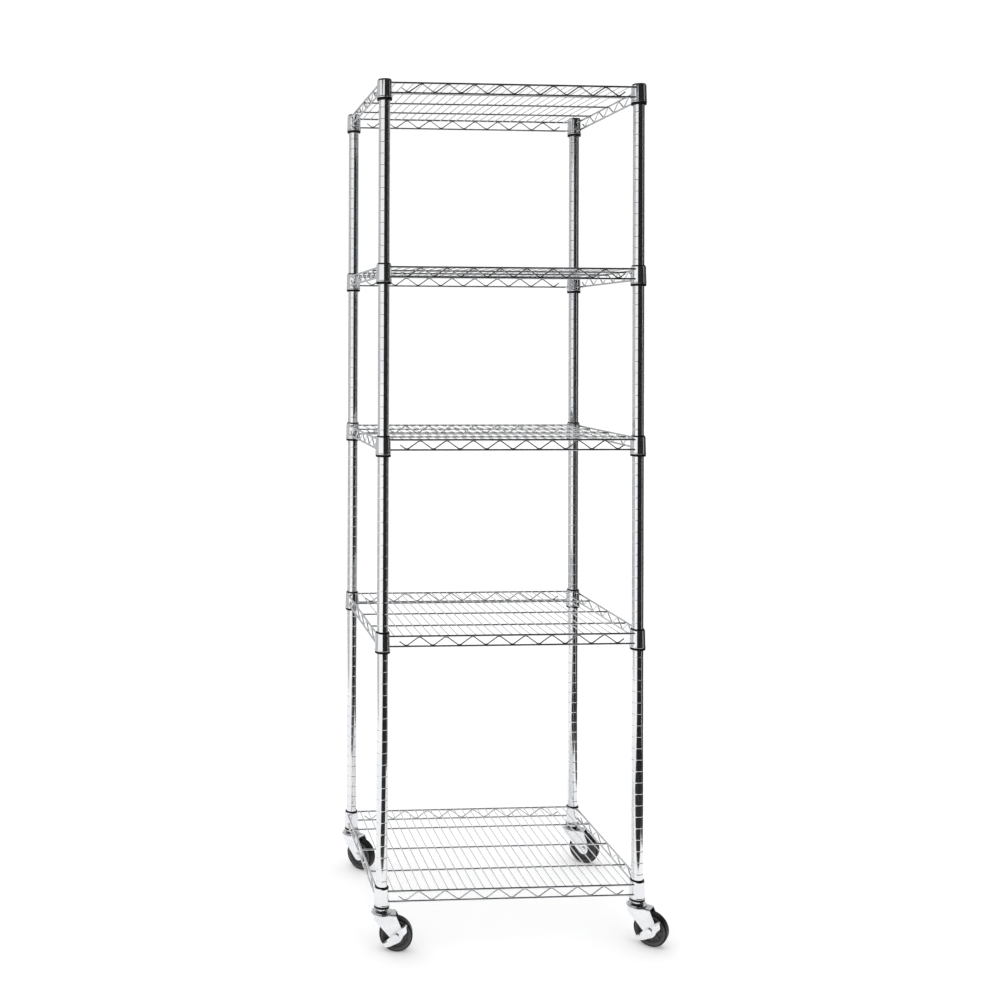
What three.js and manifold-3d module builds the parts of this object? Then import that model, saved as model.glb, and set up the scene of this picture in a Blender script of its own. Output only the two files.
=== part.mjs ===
// Wire shelving rack on four swivel casters, in millimetres, +Z up.
//
// Four grooved tube posts carry five welded wire shelves. Each shelf corner is a tapered
// collar that wedges down onto a split plastic sleeve. A stem caster plugs into the foot of
// each post; the two front casters have a side-lock brake lever on the wheel axle.
//
// Layout: X runs along the long side of the shelves, Y from front to back. The rack is built
// round the centre of its four posts and is then moved so that the origin is at the bottom
// centre of its bounding box.

import * as THREE from 'three';
import { mergeVertices } from 'three/addons/utils/BufferGeometryUtils.js';
import Module from 'manifold-3d';

const wasm = await Module();
wasm.setup();

// ---------------------------------------------------------------- driving dimensions

const INCH = 25.4;

// Posts
const WIDTH_BETWEEN_POSTS = 576.6; // between post axes, along X
const DEPTH_BETWEEN_POSTS = 424; // between post axes, along Y
const POST_DIAMETER = 25.4;
const POST_WALL = 1.4;
const POST_ABOVE_TOP_RAIL = 26.5; // post end above the top shelf's lower rail

// Shelf heights
const FIRST_RAIL_ABOVE_POST_END = 20; // lowest shelf's lower rail above the foot of the post
const SHELF_GAPS = [22 * INCH, 17 * INCH, 15 * INCH, 16 * INCH]; // from the lowest shelf up

// Shelf edges: an upper and a lower rail joined by a zigzag wire
const RAIL_SPACING = 22.2; // between rail centres
const RAIL_HEIGHT = 4.5;
const RAIL_THICKNESS = 4;
const RAIL_OFFSET = 10.5; // rail centre line outside the line of post axes
const ZIGZAG_WIRE = 3;
const ZIGZAG_PITCH = 60; // wanted length of one zigzag, rounded to fit the edge
const ZIGZAG_END_SETBACK = 50.3; // outermost low bend to the post axis

// Deck
const DECK_WIRE = 2.3;
const DECK_WIRE_PITCH = 20.3;
const DECK_WIRE_ABOVE_RAIL = 0.6; // deck wire centre above the upper rail's centre
const RIB_WIRE = 4;
const RIB_COUNT = 3;
const RIB_SPREAD = 0.55; // distance between the outer ribs as a share of the depth
const RIB_GAP = 0.3; // under the deck wires
const WELD_BITE = 1; // how far a welded wire end sinks into the rail

// Corner collars and their sleeves
const COLLAR_BELOW_RAIL = 10.4;
const COLLAR_ABOVE_RAIL = 28.6;
const COLLAR_WALL = 1.5;
const SLEEVE_BELOW_COLLAR = 5.2;
const SLEEVE_ABOVE_COLLAR = 2.5;
const SLEEVE_TOP_WALL = 1.5;
const SLEEVE_TAPER = 1.1; // radius gained from the sleeve's top to its foot
const SLEEVE_FLANGE = 1.4; // how far the foot below the collar stands out beyond the taper
const SLEEVE_SPLIT = 2;

// Post caps
const CAP_PLUG_LENGTH = 12;
const CAP_RIM_HEIGHT = 1.6;
const CAP_DOME_HEIGHT = 2.4;
const CAP_FLAT_RADIUS = 5;

// Casters: plug, race, fork
const PLUG_LENGTH = 50;
const PLUG_CHAMFER = 2;
const RACE_RADIUS = 21;
const RACE_RIM_HEIGHT = 2;
const RACE_HEIGHT = 4.7;
const RACE_TOP_BEYOND_POST = 0.8; // how far the race's top stands out round the post
const CROWN_RADIUS = 23;
const CROWN_THICKNESS = 2.5;
const CROWN_ABOVE_WHEEL = 6.4;
const CROWN_REACH = 31; // front edge of the crown ahead of the swivel axis
const FORK_PLATE = 2.5;
const FORK_SHOULDER = 9.5; // straight rear edge of a leg below the crown
const LEG_END_RADIUS = 12;
const LEG_END_ARC = [-135, 0].map(THREE.MathUtils.degToRad); // the rounded foot of a leg
const LEG_FRONT_REACH = 10.5; // leg's front edge ahead of the axle at mid height
const KINGPIN_RADIUS = 4;
const KINGPIN_HEAD_RADIUS = 7.5;
const KINGPIN_HEAD_HEIGHT = 3;

// Wheels
const WHEEL_DIAMETER = 73;
const WHEEL_WIDTH = 24;
const TYRE_THICKNESS = 9.5;
const TYRE_SHOULDER = 3;
const TYRE_SEAT_WIDTH = 19;
const HUB_BOSS_RADIUS = 10;
const HUB_BOSS_PROUD = 0.5; // each end of the hub beyond the tread
const HUB_WEB_WIDTH = 17;
const TRAIL = 31.5; // swivel axis to wheel axis

// Axle
const AXLE_RADIUS = 4;
const HEX_HALF_WIDTH = 6.5; // half the width across the flats of the bolt head and the nut
const BOLT_HEAD_HEIGHT = 4;
const NUT_HEIGHT = 5;
const THREAD_BEYOND_NUT = 2;

// Brake lever
const LEVER_PLATE = 2;
const LEVER_REST_ANGLE = THREE.MathUtils.degToRad(42);
const LEVER_FLANGE_DEPTH = 7;
const LEVER_FLANGE_LINE = 4.8; // underside of the pads, across the lever from the axle
const LEVER_TOE = [17, 35.2]; // ends of the toe pad along the lever
const LEVER_HEEL = [-31, -22]; // ends of the heel pad

// Clearances
const FIT_GAP = 0.3; // between pieces that seat on or pass through each other
const HUB_SIDE_GAP = 0.8; // between the hub's ends and the fork legs

const WELD_TOLERANCE = 1e-4; // vertices nearer than this are one vertex

// Number of flat sides that stand for a circle
const POST_SIDES = 12;
const WHEEL_SIDES = 24;
const HOLE_SIDES = 12;

// Corners: side of the rack and the direction in which each wheel trails
const CORNERS = [
  { name: 'front_left', x: -1, y: -1, trailAngle: 12, braked: true },
  { name: 'front_right', x: 1, y: -1, trailAngle: 38, braked: true },
  { name: 'back_left', x: -1, y: 1, trailAngle: 46, braked: false },
  { name: 'back_right', x: 1, y: 1, trailAngle: 35, braked: false },
];

// ---------------------------------------------------------------- sizes that follow

const postRadius = POST_DIAMETER / 2;
const boreRadius = postRadius - POST_WALL;
const wheelRadius = WHEEL_DIAMETER / 2;
const crownBottom = WHEEL_DIAMETER + CROWN_ABOVE_WHEEL;
const crownTop = crownBottom + CROWN_THICKNESS;
const raceBottom = crownTop + FIT_GAP;
const raceTop = raceBottom + RACE_HEIGHT;
const postBottom = raceTop + FIT_GAP;
const firstRail = postBottom + FIRST_RAIL_ABOVE_POST_END;
const railHeights = SHELF_GAPS.reduce((heights, gap) => [...heights, heights.at(-1) + gap], [firstRail]);
const postTop = railHeights.at(-1) + POST_ABOVE_TOP_RAIL;

const sleeveBottom = -COLLAR_BELOW_RAIL - SLEEVE_BELOW_COLLAR;
const sleeveTop = COLLAR_ABOVE_RAIL + SLEEVE_ABOVE_COLLAR;
const sleeveBore = postRadius + FIT_GAP;
const sleeveTopRadius = sleeveBore + SLEEVE_TOP_WALL;
const sleeveSlope = SLEEVE_TAPER / (sleeveTop - sleeveBottom);
const sleeveRadiusAt = (z) => sleeveTopRadius + (sleeveTop - z) * sleeveSlope;
const sleeveFlangeTop = -COLLAR_BELOW_RAIL - FIT_GAP;
const sleeveFlangeRadius = sleeveRadiusAt(sleeveFlangeTop) + SLEEVE_FLANGE;
const collarBoreAt = (z) => sleeveRadiusAt(z) + FIT_GAP;

const hubHalfWidth = WHEEL_WIDTH / 2 + HUB_BOSS_PROUD;
const forkInnerHalf = hubHalfWidth + HUB_SIDE_GAP;
const forkOuterHalf = forkInnerHalf + FORK_PLATE;

// ---------------------------------------------------------------- materials

const finish = (color, roughness, metalness) => new THREE.MeshStandardMaterial({ color, roughness, metalness });
const CHROME = finish(0xd7dade, 0.12, 1);
const BRIGHT_STEEL = finish(0xc9ccd0, 0.28, 1);
const SLEEVE_PLASTIC = finish(0x151515, 0.45, 0);
const CAP_PLASTIC = finish(0x26262a, 0.4, 0);
const TYRE_RUBBER = finish(0x2b2b2c, 0.6, 0);
const HUB_PLASTIC = finish(0x1d1d1e, 0.5, 0);

// ---------------------------------------------------------------- geometry helpers

/** A closed solid for joining and cutting, from any closed three.js geometry. */
function solid(geometry) {
  const bare = geometry.clone();
  bare.deleteAttribute('normal');
  bare.deleteAttribute('uv');
  const merged = mergeVertices(bare, WELD_TOLERANCE);
  return new wasm.Manifold(new wasm.Mesh({
    numProp: 3,
    vertProperties: new Float32Array(merged.attributes.position.array),
    triVerts: new Uint32Array(merged.index.array),
  }));
}

/** The three.js geometry of a joined or cut solid. */
function geometryOf(manifold) {
  const mesh = manifold.getMesh();
  const geometry = new THREE.BufferGeometry();
  geometry.setAttribute('position', new THREE.BufferAttribute(mesh.vertProperties, 3));
  geometry.setIndex(new THREE.BufferAttribute(mesh.triVerts, 1));
  return geometry;
}

/**
 * Turns a closed [radius, height] outline round Z. Each radius is measured to the middle of
 * the flat sides, which face along the axes, so pieces that fit together keep their gap.
 */
function revolve(outline, sides) {
  const toCorner = 1 / Math.cos(Math.PI / sides);
  const points = [...outline, outline[0]]
    .map(([radius, height]) => new THREE.Vector2(radius * toCorner, height));
  const closed = outline[0][0] === 0 ? points.slice(0, -1) : points;
  return new THREE.LatheGeometry(closed, sides, Math.PI / sides).rotateX(Math.PI / 2);
}

/** A round bar or disc about Z from one height to another. */
function disc(radius, bottom, top, sides = HOLE_SIDES) {
  return revolve([[0, bottom], [radius, bottom], [radius, top], [0, top]], sides);
}

/** An outline of [x, y] points as a three.js shape. */
function shapeOf(points) {
  return new THREE.Shape(points.map(([x, y]) => new THREE.Vector2(x, y)));
}

/** A box given by its low and high corners. */
function box(low, high) {
  const size = high.map((value, i) => value - low[i]);
  const centre = high.map((value, i) => (value + low[i]) / 2);
  return new THREE.BoxGeometry(...size).translate(...centre);
}

/** A flat plate in the XZ plane between two values of Y. */
function plateXZ(points, yLow, yHigh) {
  const geometry = new THREE.ExtrudeGeometry(shapeOf(points), { depth: yHigh - yLow, bevelEnabled: false });
  return geometry.rotateX(Math.PI / 2).translate(0, yHigh, 0);
}

/** A named mesh at a place in its parent. */
function piece(name, geometry, material, place = [0, 0, 0]) {
  const mesh = new THREE.Mesh(geometry, material);
  mesh.name = name;
  mesh.position.set(...place);
  return mesh;
}

// ---------------------------------------------------------------- posts, sleeves and caps

function postGeometry() {
  return revolve([
    [boreRadius, postBottom],
    [postRadius, postBottom],
    [postRadius, postTop],
    [boreRadius, postTop],
  ], POST_SIDES);
}

/** Tapered sleeve round a post with a flange at its foot, split down one side to be clipped on. */
function sleeveGeometry() {
  const ring = revolve([
    [sleeveBore, sleeveBottom],
    [sleeveFlangeRadius, sleeveBottom],
    [sleeveFlangeRadius, sleeveFlangeTop],
    [sleeveRadiusAt(sleeveFlangeTop), sleeveFlangeTop],
    [sleeveRadiusAt(sleeveTop), sleeveTop],
    [sleeveBore, sleeveTop],
  ], POST_SIDES);
  const slot = box(
    [0, -SLEEVE_SPLIT / 2, sleeveBottom - 1],
    [sleeveFlangeRadius + 1, SLEEVE_SPLIT / 2, sleeveTop + 1],
  );
  return geometryOf(solid(ring).subtract(solid(slot)));
}

function capGeometry() {
  const plugRadius = boreRadius - FIT_GAP;
  const rimBottom = postTop + FIT_GAP;
  const rimTop = rimBottom + CAP_RIM_HEIGHT;
  const top = rimTop + CAP_DOME_HEIGHT;
  const halfway = Math.SQRT1_2; // of the quarter round between the rim and the flat top
  return revolve([
    [0, postTop - CAP_PLUG_LENGTH],
    [plugRadius, postTop - CAP_PLUG_LENGTH],
    [plugRadius, rimBottom],
    [postRadius, rimBottom],
    [postRadius, rimTop],
    [CAP_FLAT_RADIUS + (postRadius - CAP_FLAT_RADIUS) * halfway, rimTop + CAP_DOME_HEIGHT * halfway],
    [CAP_FLAT_RADIUS, top],
    [0, top],
  ], POST_SIDES);
}

// ---------------------------------------------------------------- shelves

/**
 * One edge of a shelf along X, with the lower rail's centre line at z = 0: a bar from which
 * the openings between its two rails and its zigzag wire are cut. The wire has its low bends
 * on the lower rail and its high bends on the upper one, and stops half way up at each end.
 */
function edgeTruss(betweenPosts) {
  const halfRail = RAIL_HEIGHT / 2;
  const halfLength = betweenPosts / 2;
  const span = betweenPosts - 2 * ZIGZAG_END_SETBACK;
  const bays = Math.max(1, Math.round(span / ZIGZAG_PITCH));
  const run = span / bays / 2; // along the edge, from a low bend to the next high bend
  const lean = run / RAIL_SPACING; // run for each unit of height
  const halfWire = ZIGZAG_WIRE / 2 * Math.hypot(run, RAIL_SPACING) / RAIL_SPACING;
  const upperEdge = RAIL_SPACING - halfRail;
  const bendHeight = Math.max(halfRail, halfWire / lean);
  const lastBend = span / 2;
  const stubTop = RAIL_SPACING / 2;
  const halfOpening = upperEdge * lean - halfWire;
  const openings = [];
  for (let bay = 0; bay < bays; bay += 1) {
    const lowBend = -lastBend + 2 * bay * run;
    const highBend = lowBend + run;
    openings.push([
      [highBend - halfOpening, halfRail],
      [highBend + halfOpening, halfRail],
      [highBend, RAIL_SPACING - bendHeight],
    ]);
    if (bay > 0) {
      openings.push([
        [lowBend, bendHeight],
        [lowBend + halfOpening, upperEdge],
        [lowBend - halfOpening, upperEdge],
      ]);
    }
  }
  for (const end of [-1, 1]) {
    const opening = [
      [halfLength + 1, halfRail],
      [halfLength + 1, upperEdge],
      [lastBend - halfOpening, upperEdge],
      [lastBend, bendHeight],
      [lastBend + stubTop * lean - halfWire, stubTop],
      [lastBend + stubTop * lean + halfWire, stubTop],
      [lastBend + halfRail * lean + halfWire, halfRail],
    ].map(([x, z]) => [end * x, z]);
    openings.push(opening);
  }
  const half = RAIL_THICKNESS / 2;
  const bar = box([-halfLength, -half, -halfRail], [halfLength, half, RAIL_SPACING + halfRail]);
  const cuts = openings.map((opening) => solid(plateXZ(opening, -half - 1, half + 1)));
  return geometryOf(solid(bar).subtract(wasm.Manifold.union(cuts)));
}

/** A whole welded shelf, with its lower rail's centre at z = 0. */
function shelfGeometry() {
  const railX = WIDTH_BETWEEN_POSTS / 2 + RAIL_OFFSET;
  const railY = DEPTH_BETWEEN_POSTS / 2 + RAIL_OFFSET;
  const innerX = railX - RAIL_THICKNESS / 2;
  const innerY = railY - RAIL_THICKNESS / 2;
  const members = [];
  for (const side of [-1, 1]) {
    members.push(edgeTruss(WIDTH_BETWEEN_POSTS).translate(0, side * railY, 0));
    members.push(edgeTruss(DEPTH_BETWEEN_POSTS).rotateZ(Math.PI / 2).translate(side * railX, 0, 0));
  }

  const wireTop = RAIL_SPACING + DECK_WIRE_ABOVE_RAIL + DECK_WIRE / 2;
  const wireBottom = wireTop - DECK_WIRE;
  const wireReach = innerY + WELD_BITE;
  const betweenCollars = WIDTH_BETWEEN_POSTS / 2 - collarOuterAt(0) - DECK_WIRE;
  const wiresPerHalf = Math.floor(betweenCollars / DECK_WIRE_PITCH);
  for (let i = -wiresPerHalf; i <= wiresPerHalf; i += 1) {
    const x = i * DECK_WIRE_PITCH;
    members.push(box([x - DECK_WIRE / 2, -wireReach, wireBottom], [x + DECK_WIRE / 2, wireReach, wireTop]));
  }

  const ribTop = wireBottom - RIB_GAP;
  const ribReach = innerX + WELD_BITE;
  for (let i = 0; i < RIB_COUNT; i += 1) {
    const y = (i / (RIB_COUNT - 1) - 0.5) * RIB_SPREAD * DEPTH_BETWEEN_POSTS;
    members.push(box([-ribReach, y - RIB_WIRE / 2, ribTop - RIB_WIRE], [ribReach, y + RIB_WIRE / 2, ribTop]));
  }

  const cornerPlaces = CORNERS.map(({ x, y }) => [x * WIDTH_BETWEEN_POSTS / 2, y * DEPTH_BETWEEN_POSTS / 2]);
  for (const [x, y] of cornerPlaces) {
    members.push(collarOutside().translate(x, y, 0));
  }
  const joined = wasm.Manifold.union(members.map(solid));
  const bores = cornerPlaces.map(([x, y]) => solid(collarBore().translate(x, y, 0)));
  return geometryOf(bores.reduce((shelf, bore) => shelf.subtract(bore), joined));
}

function collarOuterAt(z) {
  return collarBoreAt(z) + COLLAR_WALL;
}

function collarOutside() {
  return revolve([
    [0, -COLLAR_BELOW_RAIL],
    [collarOuterAt(-COLLAR_BELOW_RAIL), -COLLAR_BELOW_RAIL],
    [collarOuterAt(COLLAR_ABOVE_RAIL), COLLAR_ABOVE_RAIL],
    [0, COLLAR_ABOVE_RAIL],
  ], POST_SIDES);
}

/** The tapered hole through a collar, longer than the collar at both ends. */
function collarBore() {
  const low = -COLLAR_BELOW_RAIL - 1;
  const high = COLLAR_ABOVE_RAIL + 1;
  return revolve([[0, low], [collarBoreAt(low), low], [collarBoreAt(high), high], [0, high]], POST_SIDES);
}

// ---------------------------------------------------------------- casters

/** Plug, bearing race and kingpin of a caster: the part that does not swivel. */
function stemGeometry() {
  const plugRadius = boreRadius - FIT_GAP;
  const plugTop = raceTop + PLUG_LENGTH;
  const headTop = crownBottom - FIT_GAP;
  return revolve([
    [0, headTop - KINGPIN_HEAD_HEIGHT],
    [KINGPIN_HEAD_RADIUS, headTop - KINGPIN_HEAD_HEIGHT],
    [KINGPIN_HEAD_RADIUS, headTop],
    [KINGPIN_RADIUS, headTop],
    [KINGPIN_RADIUS, raceBottom],
    [RACE_RADIUS, raceBottom],
    [RACE_RADIUS, raceBottom + RACE_RIM_HEIGHT],
    [postRadius + RACE_TOP_BEYOND_POST, raceTop],
    [plugRadius, raceTop],
    [plugRadius, plugTop - PLUG_CHAMFER],
    [plugRadius - PLUG_CHAMFER, plugTop],
    [0, plugTop],
  ], POST_SIDES);
}

/** Points of an arc in the XZ plane, from one angle to another. */
function arc([x, z], radius, from, to, steps) {
  return Array.from({ length: steps + 1 }, (_, i) => {
    const angle = from + (to - from) * i / steps;
    return [x + radius * Math.cos(angle), z + radius * Math.sin(angle)];
  });
}

/** Swivelling fork: a crown plate with a leg down each side of the wheel. X points to the wheel. */
function forkGeometry() {
  const axle = [TRAIL, wheelRadius];
  const rear = -Math.sqrt(CROWN_RADIUS ** 2 - forkOuterHalf ** 2);
  const legOutline = [
    [rear, crownTop],
    [rear, crownBottom - FORK_SHOULDER],
    ...arc(axle, LEG_END_RADIUS, ...LEG_END_ARC, HOLE_SIDES / 2),
    [TRAIL + LEG_FRONT_REACH, (crownBottom + wheelRadius) / 2],
    [CROWN_REACH, crownTop],
  ];
  const crownPlate = box([0, -forkOuterHalf, crownBottom], [CROWN_REACH, forkOuterHalf, crownTop]);
  const legs = [
    plateXZ(legOutline, -forkOuterHalf, -forkInnerHalf),
    plateXZ(legOutline, forkInnerHalf, forkOuterHalf),
  ];
  const crownDisc = disc(CROWN_RADIUS, crownBottom, crownTop, 2 * HOLE_SIDES);
  const body = wasm.Manifold.union([crownDisc, crownPlate, ...legs].map(solid));
  const kingpinHole = disc(KINGPIN_RADIUS + FIT_GAP, crownBottom - 1, crownTop + 1);
  const axleHole = alongAxle(disc(AXLE_RADIUS + FIT_GAP, -forkOuterHalf - 1, forkOuterHalf + 1));
  return geometryOf(body.subtract(solid(kingpinHole)).subtract(solid(axleHole)));
}

/** Turns geometry made about Z so that its axis is the wheel axis; +Z becomes +Y. */
function alongAxle(geometry) {
  return geometry.rotateX(-Math.PI / 2).translate(TRAIL, 0, wheelRadius);
}

/** Bolt through fork, brake lever and hub, with a hexagonal head on the lever's side. */
function axleGeometry(braked) {
  const headTop = -forkOuterHalf - FIT_GAP - (braked ? LEVER_PLATE + FIT_GAP : 0);
  const end = forkOuterHalf + FIT_GAP + NUT_HEIGHT + THREAD_BEYOND_NUT;
  const head = disc(HEX_HALF_WIDTH, headTop - BOLT_HEAD_HEIGHT, headTop, 6);
  const shank = disc(AXLE_RADIUS, headTop - BOLT_HEAD_HEIGHT / 2, end);
  return alongAxle(geometryOf(solid(head).add(solid(shank))));
}

function nutGeometry() {
  const face = forkOuterHalf + FIT_GAP;
  const hexagon = disc(HEX_HALF_WIDTH, face, face + NUT_HEIGHT, 6);
  const hole = disc(AXLE_RADIUS + FIT_GAP, face - 1, face + NUT_HEIGHT + 1);
  return alongAxle(geometryOf(solid(hexagon).subtract(solid(hole))));
}

function tyreGeometry() {
  const seatRadius = wheelRadius - TYRE_THICKNESS;
  const halfWidth = WHEEL_WIDTH / 2;
  const halfSeat = TYRE_SEAT_WIDTH / 2;
  return alongAxle(revolve([
    [seatRadius, -halfSeat],
    [wheelRadius - TYRE_SHOULDER, -halfWidth],
    [wheelRadius, -halfWidth + TYRE_SHOULDER],
    [wheelRadius, halfWidth - TYRE_SHOULDER],
    [wheelRadius - TYRE_SHOULDER, halfWidth],
    [seatRadius, halfSeat],
  ], WHEEL_SIDES));
}

function hubGeometry() {
  const rimRadius = wheelRadius - TYRE_THICKNESS - FIT_GAP;
  const webHalf = HUB_WEB_WIDTH / 2;
  const bore = AXLE_RADIUS + FIT_GAP;
  return alongAxle(revolve([
    [bore, -hubHalfWidth],
    [HUB_BOSS_RADIUS, -hubHalfWidth],
    [HUB_BOSS_RADIUS, -webHalf],
    [rimRadius, -webHalf],
    [rimRadius, webHalf],
    [HUB_BOSS_RADIUS, webHalf],
    [HUB_BOSS_RADIUS, hubHalfWidth],
    [bore, hubHalfWidth],
  ], WHEEL_SIDES));
}

/**
 * Side-lock brake lever on the axle, outside the fork. Drawn along its own length with the
 * axle at the origin: toe pad on the right, heel pad on the left, wavy lower edge.
 */
function leverGeometry() {
  const outline = [
    [-31, 6.8],
    [-35.6, 5],
    [-33.5, -4],
    [-25, -8.2],
    [-13, -11],
    [-2, -14],
    [6, -12.5],
    [13, -9.3],
    [25, -8.1],
    [35.5, 6.8],
  ];
  const outer = -forkOuterHalf - FIT_GAP - LEVER_PLATE;
  const inner = outer + LEVER_PLATE;
  const flangeOuter = outer - LEVER_FLANGE_DEPTH;
  const [toe, heel] = [LEVER_TOE, LEVER_HEEL].map(([from, to]) => box(
    [from, flangeOuter, LEVER_FLANGE_LINE],
    [to, inner, LEVER_FLANGE_LINE + LEVER_PLATE],
  ));
  const body = wasm.Manifold.union([plateXZ(outline, outer, inner), toe, heel].map(solid));
  const hole = disc(AXLE_RADIUS + FIT_GAP, outer - 1, inner + 1).rotateX(-Math.PI / 2);
  const lever = geometryOf(body.subtract(solid(hole)));
  return lever.rotateY(-LEVER_REST_ANGLE).translate(TRAIL, 0, wheelRadius);
}

/** A caster: the stem is fixed in the post, and the rest is turned to its trailing direction. */
function caster({ name, trailAngle, braked }) {
  const group = new THREE.Group();
  group.add(piece(`caster_stem_${name}`, stemGeometry(), BRIGHT_STEEL));
  const swivel = new THREE.Group();
  swivel.rotation.z = -THREE.MathUtils.degToRad(trailAngle);
  swivel.add(
    piece(`caster_fork_${name}`, forkGeometry(), BRIGHT_STEEL),
    piece(`axle_bolt_${name}`, axleGeometry(braked), BRIGHT_STEEL),
    piece(`axle_nut_${name}`, nutGeometry(), BRIGHT_STEEL),
    piece(`wheel_tyre_${name}`, tyreGeometry(), TYRE_RUBBER),
    piece(`wheel_hub_${name}`, hubGeometry(), HUB_PLASTIC),
  );
  if (braked) {
    swivel.add(piece(`brake_lever_${name}`, leverGeometry(), BRIGHT_STEEL));
  }
  group.add(swivel);
  return group;
}

// ---------------------------------------------------------------- assembly

const rack = new THREE.Group();

for (const corner of CORNERS) {
  const column = new THREE.Group();
  column.position.set(corner.x * WIDTH_BETWEEN_POSTS / 2, corner.y * DEPTH_BETWEEN_POSTS / 2, 0);
  column.add(piece(`post_${corner.name}`, postGeometry(), CHROME));
  column.add(piece(`post_cap_${corner.name}`, capGeometry(), CAP_PLASTIC));
  railHeights.forEach((height, level) => {
    const sleeve = piece(`sleeve_${level + 1}_${corner.name}`, sleeveGeometry(), SLEEVE_PLASTIC, [0, 0, height]);
    sleeve.rotation.z = corner.x > 0 ? Math.PI : 0; // the split faces along the shelf
    column.add(sleeve);
  });
  column.add(caster(corner));
  rack.add(column);
}

railHeights.forEach((height, level) => {
  rack.add(piece(`shelf_${level + 1}`, shelfGeometry(), CHROME, [0, 0, height]));
});

// The origin goes to the bottom centre of the bounding box.
const bounds = new THREE.Box3().setFromObject(rack, true);
const centre = bounds.getCenter(new THREE.Vector3());
rack.position.set(-centre.x, -centre.y, -bounds.min.z);

const group = new THREE.Group();
group.add(rack);
export default group;
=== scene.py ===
"""Looks of a chromed wire shelving rack on casters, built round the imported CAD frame.

Everything is in metres, +Z up, with the rack's bottom centre at the origin. Places come from the
frame's own boxes; the sizes named below are the ones that a box cannot tell, such as a wire's
thickness.
"""

import math

import bmesh
import bpy
from mathutils import Matrix, Vector


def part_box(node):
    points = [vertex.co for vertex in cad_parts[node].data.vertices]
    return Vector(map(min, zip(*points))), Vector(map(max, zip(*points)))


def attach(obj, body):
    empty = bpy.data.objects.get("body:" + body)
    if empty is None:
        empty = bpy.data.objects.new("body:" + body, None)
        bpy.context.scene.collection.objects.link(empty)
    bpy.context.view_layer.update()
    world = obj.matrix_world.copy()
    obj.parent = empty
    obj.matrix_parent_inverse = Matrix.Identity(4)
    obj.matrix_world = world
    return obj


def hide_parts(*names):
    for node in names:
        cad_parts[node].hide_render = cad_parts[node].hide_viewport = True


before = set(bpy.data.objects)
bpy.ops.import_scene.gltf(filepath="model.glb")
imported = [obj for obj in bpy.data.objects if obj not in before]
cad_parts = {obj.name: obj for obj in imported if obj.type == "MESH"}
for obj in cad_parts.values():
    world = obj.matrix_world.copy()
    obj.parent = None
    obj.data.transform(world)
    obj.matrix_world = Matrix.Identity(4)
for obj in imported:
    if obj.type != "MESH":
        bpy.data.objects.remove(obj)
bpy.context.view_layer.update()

MM = 0.001
INCH = 25.4 * MM
CORNERS = ("front_left", "front_right", "back_left", "back_right")
BRAKED = ("front_left", "front_right")
LEVELS = (1, 2, 3, 4, 5)

# ---------------------------------------------------------------- sizes

# Posts
POST_WALL = 1.4 * MM
GROOVE_DEPTH = 0.4 * MM
GROOVE_HALF_WIDTH = 1.1 * MM
GROOVE_BELOW_RAIL = 6 * MM  # a groove lies this far below each shelf's lower rail
POST_SIDES = 48
CAP_DOME_STEPS = 8

# Shelf edges, measured from the lower rail's centre line
COLLAR_BELOW_RAIL = 10.4 * MM
RAIL_SPACING = 22.2 * MM
RAIL_RADIUS = 2.2 * MM
RAIL_OFFSET = 10.5 * MM
ZIGZAG_RADIUS = 1.5 * MM
ZIGZAG_PITCH = 60 * MM
ZIGZAG_END_SETBACK = 50.3 * MM
ZIGZAG_BEND = 6 * MM
ZIGZAG_BITE = 1.5 * MM  # how far a bend sinks into the rail it is welded to

# Deck
DECK_RADIUS = 1.2 * MM
DECK_PITCH = 20.3 * MM
DECK_ABOVE_RAIL = 0.6 * MM
RIB_RADIUS = 2 * MM
RIB_SPREAD = 0.55
RIB_BITE = 0.3 * MM
WELD_FLARE = 1.45  # swelling of a wire's end at its weld
WELD_LENGTH = 3.5 * MM

# Collars and sleeves
COLLAR_WALL = 1.5 * MM
COLLAR_BEAD = 0.5 * MM
COLLAR_BEAD_HEIGHT = 3.2 * MM
FIT_GAP = 0.3 * MM
SLEEVE_SPLIT = 2 * MM
SLEEVE_TOP_WALL = 1.5 * MM
SLEEVE_TAPER = 1.1 * MM  # radius gained from a sleeve's top to its foot

# Casters
RACE_SIDES = 64
FORK_PLATE = 2.5 * MM
FORK_BEND = 2.9 * MM  # radius of the sheet's middle
FORK_SHOULDER = 9.5 * MM  # from the crown down to where the rear edge starts to slope
FORK_CROWN_REACH = 31 * MM  # from the swivel axis to the crown's front edge
FORK_EDGE = 0.5 * MM
LEG_END_RADIUS = 12 * MM
LEG_FRONT_REACH = 10.5 * MM
CROWN_RADIUS = 23 * MM
KINGPIN_RADIUS = 4 * MM
KINGPIN_HEAD_RADIUS = 7.5 * MM
LEVER_PLATE = 2 * MM
LEVER_PAD = 7 * MM  # how far the folded pads stand out from the plate
LEVER_TURN = math.radians(42)  # toe up, as released
LEVER_EDGE = 0.35 * MM
AXLE_RADIUS = 4 * MM
AXLE_PAST_FORK = 7 * MM
HEX_HALF_WIDTH = 6.5 * MM
HEX_CHAMFER = 0.7 * MM
HEAD_HEIGHT = 4 * MM
NUT_HEIGHT = 5 * MM
THREAD_LENGTH = 8.5 * MM
THREAD_DEPTH = 0.55 * MM
THREAD_PITCH = 1.25 * MM
WHEEL_SIDES = 96
TYRE_HALF_WIDTH = 12 * MM
TYRE_DEPTH = 9.5 * MM  # from the wheel's rim to the tyre's seat on the core
TREAD_DEPTH = 3.4 * MM  # the black tread and its shoulders, in from the wheel's rim
HUB_HALF_WIDTH = 12.5 * MM
HUB_BOSS_RADIUS = 10 * MM
HUB_RIBS = 10
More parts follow.
